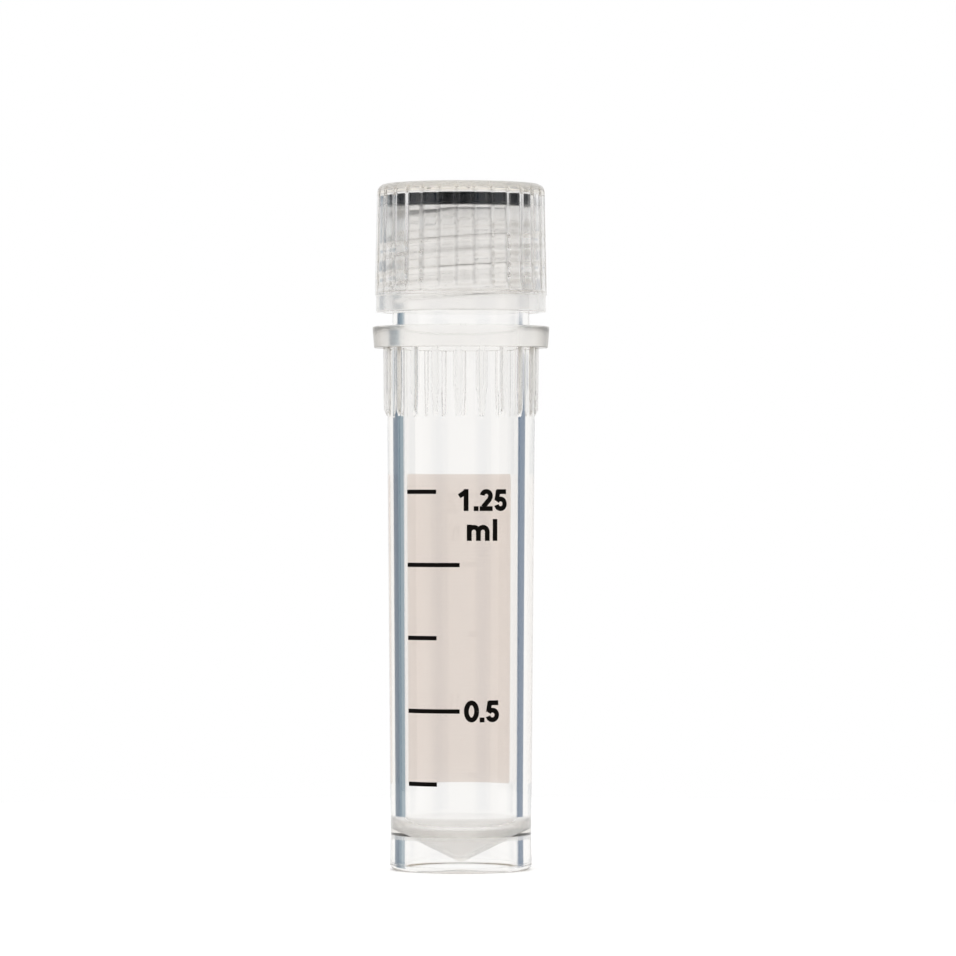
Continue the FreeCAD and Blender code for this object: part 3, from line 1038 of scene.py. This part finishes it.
def bow(x, y, wide, high, start, end):
    """A pen stroke along part of an ellipse, between two angles in degrees."""
    count = math.ceil(abs(end - start) / BOW_STEP)
    points = []
    for i in range(count + 1):
        angle = math.radians(start + (end - start) * i / count)
        points.append(Vector((x + wide * math.cos(angle), y + high * math.sin(angle))))
    return points


def arch(x):
    """One arch of a small m round a middle, down to its foot."""
    return bow(x, FOOT, ARCH, ARCH, 180, 0) + line(x + ARCH, FOOT, x + ARCH, 0)


GLYPHS = {
    "0": (0.725, [bow(0.345, 0.5, 0.235, 0.39, 0, 360)]),
    "1": (0.72, [line(0.372, 0, 0.372, 1.0), line(0.36, 0.885, 0.06, 0.67)]),
    "2": (0.695, [bow(0.315, 0.69, 0.2, 0.2, 172, -30) + line(0.455, 0.52, 0.16, 0.19),
                  line(0, HALF, 0.615, HALF)]),
    "5": (0.695, [line(0.15, 0.885, 0.625, 0.885), line(0.21, 0.95, 0.135, 0.47),
                  bow(0.335, 0.33, 0.22, 0.22, 150, -165)]),
    ".": (0.276, [line(HALF, 0, HALF, PEN)]),
    "m": (1.225, [line(HALF, 0, HALF, X_HEIGHT), arch(HALF + ARCH), arch(HALF + ARCH * 3)]),
    "l": (PEN, [line(HALF, 0, HALF, 1.0)]),
}
print("letters:", " ".join(GLYPHS))

# %% [markdown]
# Each stroke becomes a thin closed bar: four corners at each point of its middle line, two on the
# wall and two out at the ink's face. Every corner is wrapped onto the drafted wall by itself, so the
# letters neither float nor sink.

# %% Numbers wrapped round the wall
FRONT = -math.pi / 2
LETTER_HEIGHT = 1.53


def pen_edges(points):
    """The two edges of a stroke, half a pen to each side of its middle line."""
    left, right = [], []
    for i, point in enumerate(points):
        ahead = points[min(i + 1, len(points) - 1)]
        behind = points[max(i - 1, 0)]
        along = (ahead - behind).normalized()
        across = Vector((-along.y, along.x)) * HALF
        left.append(point + across)
        right.append(point - across)
    return left, right


def on_wall(point, start_angle, bottom, depth):
    """A flat point, in letter heights, wrapped onto the drafted wall."""
    height = bottom + point.y * LETTER_HEIGHT
    angle = FRONT + start_angle + point.x * LETTER_HEIGHT / wall_radius(height)
    return place_at(wall_radius(height) + INK_GAP + depth, angle, height)


def raised_stroke(stroke, start_angle, bottom, first):
    """A stroke as a closed bar: its points, numbered from first, and its faces."""
    verts, faces = [], []
    for p, q in zip(*pen_edges(stroke)):
        for edge, depth in ((p, INK_THICKNESS), (q, INK_THICKNESS), (q, 0), (p, 0)):
            verts.append(on_wall(edge, start_angle, bottom, depth))
    last = first + len(verts) - 4
    for ring in range(first, last, 4):
        for i in range(4):
            j = (i + 1) % 4
            faces.append((ring + i, ring + j, ring + 4 + j, ring + 4 + i))
    faces.append((first + 3, first + 2, first + 1, first))
    faces.append((last, last + 1, last + 2, last + 3))
    return verts, faces


def wrapped_text(name, text, left_angle, bottom):
    """Thin raised letters on the wall, from an angle in degrees round from the front."""
    verts, faces = [], []
    pen_at = 0.0
    for letter in text:
        step, strokes = GLYPHS[letter]
        for stroke in strokes:
            moved = [point + Vector((pen_at, 0)) for point in stroke]
            bar = raised_stroke(moved, math.radians(left_angle), bottom, len(verts))
            verts += bar[0]
            faces += bar[1]
        pen_at += step
    obj = place_mesh(name, verts, faces)
    obj.data.materials.append(mark_ink)
    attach(obj, "tube_body")
    print(name, len(faces), "faces")


wrapped_text("number_upper", "1.25", -2.4, 25.27)
wrapped_text("unit_ml", "ml", 4.5, 23.19)
wrapped_text("number_lower", "0.5", 2.3, 10.55)

# %% [markdown]
# ## Studio
#
# The vial stands on a pale round table. A shadow catcher would hide the table altogether, but real
# paint that glows a little reads white where it is fully lit and keeps the soft shadow.

# %% Table
FLOOR_RADIUS = 0.095
FLOOR_SIDES = 96
FLOOR_GLOW = 0.14


def place_stage(name, verts, faces, material):
    """A piece of the studio, which isn't part of the object."""
    obj = place_mesh(name, verts, faces)
    obj.data.materials.append(material)
    return obj


def make_floor_paint():
    """Pale matt paint with a little glow of its own."""
    material, tree, shader = new_material("Pale floor")
    path = tree.nodes.new("ShaderNodeLightPath").outputs
    seen = calc(tree, "ADD", path["Is Camera Ray"], path["Is Glossy Ray"])
    seen = calc(tree, "ADD", seen, path["Is Transmission Ray"], clamp=True)
    feed_node(tree, shader, Base_Color=(0.88, 0.88, 0.88, 1.0), Roughness=0.9,
              Emission_Color=(1.0, 1.0, 1.0, 1.0), Emission_Strength=times(tree, seen, FLOOR_GLOW))
    return material


floor_ring = [(FLOOR_RADIUS * math.cos(angle), FLOOR_RADIUS * math.sin(angle), 0.0)
              for angle in even_angles(FLOOR_SIDES)]
floor = place_stage("floor", floor_ring, [tuple(range(FLOOR_SIDES))], make_floor_paint())
floor.visible_transmission = False
print("table of", FLOOR_RADIUS * 2, "m across")

# %% [markdown]
# Clear plastic shows what stands around it, and a white surround alone would make it vanish. Blue-
# grey cards stand far off on the diagonals: the tube's walls, which bend light sideways, pick them
# up as the dark lines that draw its edges. A card shows only to light that the plastic has reflected
# on its way, so nothing stands behind the object when it is looked through from another side.

# %% Cards
CARD_STEPS = 24
CARD_DISTANCE = 0.6
CARD_LOW, CARD_HIGH = -0.07, 0.13
LEFT_STEP = 0.048
RIGHT_TOP = 0.053


def make_card_paint(name, colour):
    """A card that shows only to light that a clear or shiny surface has reflected on its way."""
    material, tree, shader = new_material(name)
    tree.nodes.remove(shader)
    path = tree.nodes.new("ShaderNodeLightPath").outputs
    glow = add(tree, "ShaderNodeEmission", Color=(*colour, 1.0))
    clear = tree.nodes.new("ShaderNodeBsdfTransparent")
    reflected = calc(tree, "MINIMUM", path["Glossy Depth"], 1.0)
    scattered = calc(tree, "MINIMUM", path["Diffuse Depth"], 1.0)
    both = add(tree, "ShaderNodeMixShader", Fac=calc(tree, "SUBTRACT", reflected, scattered, clamp=True))
    tree.links.new(clear.outputs[0], both.inputs[1])
    tree.links.new(glow.outputs[0], both.inputs[2])
    tree.links.new(both.outputs[0], tree.nodes["Material Output"].inputs["Surface"])
    return material


def make_card(distance, name, start, end, low, high, paint, hidden_from):
    """A curved upright card between two compass angles, hidden from some kinds of light path."""
    verts = []
    for i in range(CARD_STEPS + 1):
        angle = math.radians(start + (end - start) * i / CARD_STEPS)
        x, y = distance * math.cos(angle), distance * math.sin(angle)
        verts += [(x, y, low), (x, y, high)]
    faces = [(2 * i, 2 * i + 2, 2 * i + 3, 2 * i + 1) for i in range(CARD_STEPS)]
    card = place_stage(name, verts, faces, paint)
    for kind in hidden_from:
        setattr(card, "visible_" + kind, False)


dark_card = make_card_paint("Dark card", (0.06, 0.12, 0.19))
light_card = make_card_paint("Light card", (0.16, 0.22, 0.31))
middle_card = make_card_paint("Middle card", (0.2, 0.28, 0.34))
pale_card = make_card_paint("Pale card", (0.38, 0.46, 0.51))
EDGE_CARD = ("camera", "diffuse", "glossy", "shadow")
CARDS = (
    ("card_back_left_low", 106, 129, CARD_LOW, LEFT_STEP, dark_card),
    ("card_back_left_high", 115, 129, LEFT_STEP, CARD_HIGH, dark_card),
    ("card_back_left_middle", 129, 138, CARD_LOW, CARD_HIGH, middle_card),
    ("card_back_left_end", 138, 147, CARD_LOW, CARD_HIGH, pale_card),
    ("card_back_right", 32, 55, CARD_LOW, RIGHT_TOP, light_card),
    ("card_front_right", -65, -33, CARD_LOW, CARD_HIGH, dark_card),
    ("card_front_left", -148, -125, CARD_LOW, CARD_HIGH, light_card),
)
for card in CARDS:
    make_card(CARD_DISTANCE, *card, EDGE_CARD)
print(len(CARDS), "cards")

# %% [markdown]
# Flags are taller cards further off. Some show only in outer reflections and take the glare off the
# cap. The others show only in reflections inside the plastic, and let the seal look black.

# %% Flags
FLAG_DISTANCE = 0.7
FLAG_LOW, FLAG_HIGH = -0.25, 0.25
CAP_FLAG_LOW = 0.07
black_flag = make_card_paint("Black flag", (0.01, 0.01, 0.012))
blue_flag = make_card_paint("Blue flag", (0.03, 0.05, 0.08))
grey_flag = make_card_paint("Grey flag", (0.45, 0.45, 0.45))
pale_flag = make_card_paint("Pale flag", (0.75, 0.75, 0.74))
SEEN_FLAG = ("camera", "diffuse", "shadow", "transmission")
INNER_FLAG = ("camera", "diffuse", "shadow", "glossy")
FLAGS = (
    ("flag_front", -125, -76, CAP_FLAG_LOW, FLAG_HIGH, black_flag, SEEN_FLAG),
    ("flag_left", 157, 194, FLAG_LOW, FLAG_HIGH, blue_flag, SEEN_FLAG),
    ("flag_right", -28, 15, FLAG_LOW, FLAG_HIGH, blue_flag, SEEN_FLAG),
    ("flag_inner_left", -165, -118, CAP_FLAG_LOW, FLAG_HIGH, grey_flag, INNER_FLAG),
    ("flag_inner_middle", -118, -83, CAP_FLAG_LOW, FLAG_HIGH, black_flag, INNER_FLAG),
    ("flag_inner_right", -83, -15, CAP_FLAG_LOW, FLAG_HIGH, grey_flag, INNER_FLAG),
    ("flag_inner_body", -165, -15, FLAG_LOW, CAP_FLAG_LOW, pale_flag, INNER_FLAG),
)
for flag in FLAGS:
    make_card(FLAG_DISTANCE, *flag)
print(len(FLAGS), "flags")

# %% [markdown]
# The surround is plain white at a strength of one, so it lights the object and is its background in
# one go. A picture of a studio could light it too, but would leave its own shapes in the plastic.
# Two weak soft lamps shape the matt pieces.

# %% Surround and lamps
TUBE_MIDDLE = 0.025
LAMP_SIZE = 0.3


def make_surround():
    """A plain white world."""
    world = bpy.data.worlds.new("White surround")
    world.use_nodes = True
    feed_node(world.node_tree, world.node_tree.nodes["Background"], Color=(1.0, 1.0, 1.0, 1.0), Strength=1.0)
    world.cycles.sampling_method = "NONE"
    return world


def add_lamp(name, place, power):
    """A square soft lamp that looks at the tube's middle."""
    light = bpy.data.lights.new(name, "AREA")
    light.shape = "RECTANGLE"
    light.size = LAMP_SIZE
    light.size_y = LAMP_SIZE
    light.energy = power
    lamp = bpy.data.objects.new(name, light)
    lamp.location = place
    aim = Vector((0, 0, TUBE_MIDDLE)) - Vector(place)
    lamp.rotation_euler = aim.to_track_quat("-Z", "Y").to_euler()
    lamp.visible_camera = False
    bpy.context.scene.collection.objects.link(lamp)
    print(name, power, "W")


bpy.context.scene.world = make_surround()
add_lamp("key_lamp", (-0.35, -0.35, 0.45), 0.4)
add_lamp("fill_lamp", (0.4, -0.2, 0.35), 0.2)

# %% [markdown]
# ## Camera
#
# A long lens at the height of the tube's middle. A turned camera would make the tube's edges lean,
# so it is level and the picture is shifted instead. Light crosses many skins of plastic, so it may
# bend often before it is given up.

# %% Camera and colour settings
CAMERA_DISTANCE = 0.397
CAMERA_HEIGHT = 0.02604
scene = bpy.context.scene
camera_data = bpy.data.cameras.new("camera")
camera_data.lens = 212.0
camera_data.sensor_width = 36.0
camera_data.shift_x = 0.0178
camera_data.shift_y = 0.023
camera_data.clip_start = 0.01
camera = bpy.data.objects.new("camera", camera_data)
camera.location = (0.0, -CAMERA_DISTANCE, CAMERA_HEIGHT)
camera.rotation_euler = (math.pi / 2, 0.0, 0.0)
scene.collection.objects.link(camera)
scene.camera = camera
scene.view_settings.view_transform = "Standard"
scene.cycles.blur_glossy = 0.0
scene.cycles.max_bounces = 28
scene.cycles.transmission_bounces = 28
scene.cycles.glossy_bounces = 12
scene.cycles.transparent_max_bounces = 16
print("camera", CAMERA_DISTANCE, "m off with a", camera_data.lens, "mm lens")
